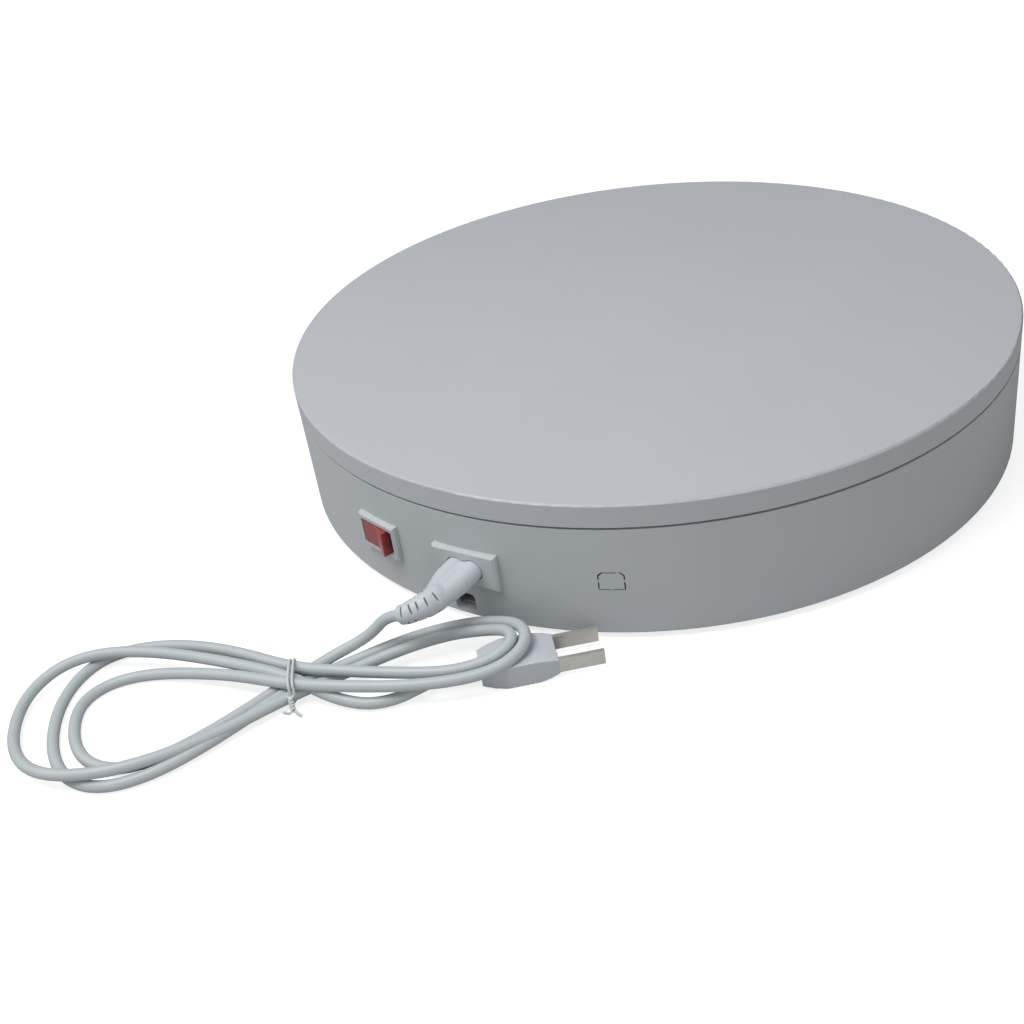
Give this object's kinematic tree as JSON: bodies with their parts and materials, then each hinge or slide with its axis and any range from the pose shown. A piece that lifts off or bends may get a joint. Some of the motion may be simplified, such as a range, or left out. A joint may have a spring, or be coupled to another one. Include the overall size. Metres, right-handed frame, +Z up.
{
  "type": "display turntable",
  "caption": "Low round motorised display turntable: flat platter on a drum base with a mains inlet, a rocker switch and a lead tied in a hank.",
  "frame": {"origin": "on the drum's axis at the floor that the feet stand on", "axes": "+Z up along the turning axis, the mains inlet faces -Y, the switch is to its -X side"},
  "size_m": [0.3, 0.4326, 0.0566],
  "materials": {
    "grey_moulding": "fine matt moulded grain",
    "platter_moulding": "smooth satin moulded skin",
    "pale_moulding": "satin moulded nylon",
    "soft_rubber": "matt soft rubber",
    "zinc_steel": "zinc plated pressed sheet",
    "steel_screw": "turned and plated steel",
    "nickel_brass": "nickel plated brass",
    "brown_wire": "extruded PVC sleeve",
    "blue_wire": "extruded PVC sleeve",
    "wear_ring": "smooth moulded acetal",
    "hub_moulding": "moulded nylon",
    "roller_moulding": "turned acetal",
    "red_moulding": "glossy moulded red",
    "white_pvc": "satin extruded and moulded PVC",
    "tie_coating": "PVC coated wire"
  },
  "bodies": {
    "base": {"base_tray": "grey_moulding", "rubber_feet": "soft_rubber", "motor_can": "zinc_steel", "motor_gear_plate": "zinc_steel", "motor_screws": "steel_screw", "roller_brackets": "zinc_steel", "bracket_screws": "steel_screw", "roller_axles": "steel_screw", "inlet_housing": "pale_moulding", "inlet_pins": "nickel_brass", "switch_housing": "pale_moulding", "switch_terminals": "nickel_brass", "live_wire": "brown_wire", "neutral_wire": "blue_wire", "motor_wire": "brown_wire"},
    "platter": {"platter": "platter_moulding", "track_ring": "wear_ring", "drive_hub": "hub_moulding", "hub_screws": "steel_screw", "motor_shaft": "steel_screw"},
    "roller_body_1": {"roller_1": "roller_moulding"},
    "roller_body_2": {"roller_2": "roller_moulding"},
    "roller_body_3": {"roller_3": "roller_moulding"},
    "roller_body_4": {"roller_4": "roller_moulding"},
    "roller_body_5": {"roller_5": "roller_moulding"},
    "roller_body_6": {"roller_6": "roller_moulding"},
    "rocker_body": {"rocker": "red_moulding"},
    "power_lead": {"lead_connector": "white_pvc", "connector_contacts": "nickel_brass", "power_cord": "white_pvc", "cord_hank": "white_pvc", "twist_tie": "tie_coating", "plug_body": "white_pvc", "plug_blades": "nickel_brass"}
  },
  "joints": [
    {"name": "platter_spin", "type": "hinge", "parent": "base", "child": "platter", "pos_m": [0, 0, 0], "axis": [0, 0, 1], "continuous": true},
    {"name": "roller_spin_1", "type": "hinge", "parent": "base", "child": "roller_body_1", "pos_m": [0.118, 0, 0.0398], "axis": [1, 0, 0], "continuous": true},
    {"name": "roller_spin_2", "type": "hinge", "parent": "base", "child": "roller_body_2", "pos_m": [0.059, 0.10219, 0.0398], "axis": [0.5, 0.866, 0], "continuous": true},
    {"name": "roller_spin_3", "type": "hinge", "parent": "base", "child": "roller_body_3", "pos_m": [-0.059, 0.10219, 0.0398], "axis": [-0.5, 0.866, 0], "continuous": true},
    {"name": "roller_spin_4", "type": "hinge", "parent": "base", "child": "roller_body_4", "pos_m": [-0.118, 0, 0.0398], "axis": [-1, 0, 0], "continuous": true},
    {"name": "roller_spin_5", "type": "hinge", "parent": "base", "child": "roller_body_5", "pos_m": [-0.059, -0.10219, 0.0398], "axis": [-0.5, -0.866, 0], "continuous": true},
    {"name": "roller_spin_6", "type": "hinge", "parent": "base", "child": "roller_body_6", "pos_m": [0.059, -0.10219, 0.0398], "axis": [0.5, -0.866, 0], "continuous": true},
    {"name": "rocker_rock", "type": "hinge", "parent": "base", "child": "rocker_body", "pos_m": [-0.04154, -0.14205, 0.0251], "axis": [0, 0, 1], "range_deg": [0, 22]},
    {"name": "lead_pull_out", "type": "slide", "parent": "base", "child": "power_lead", "axis": [0, -1, 0], "range_m": [0, 0.02]}
  ],
  "couplings": [
    {"joint": "roller_spin_1", "follows": "platter_spin", "ratio": -16.857},
    {"joint": "roller_spin_2", "follows": "platter_spin", "ratio": -16.857},
    {"joint": "roller_spin_3", "follows": "platter_spin", "ratio": -16.857},
    {"joint": "roller_spin_4", "follows": "platter_spin", "ratio": -16.857},
    {"joint": "roller_spin_5", "follows": "platter_spin", "ratio": -16.857},
    {"joint": "roller_spin_6", "follows": "platter_spin", "ratio": -16.857}
  ]
}
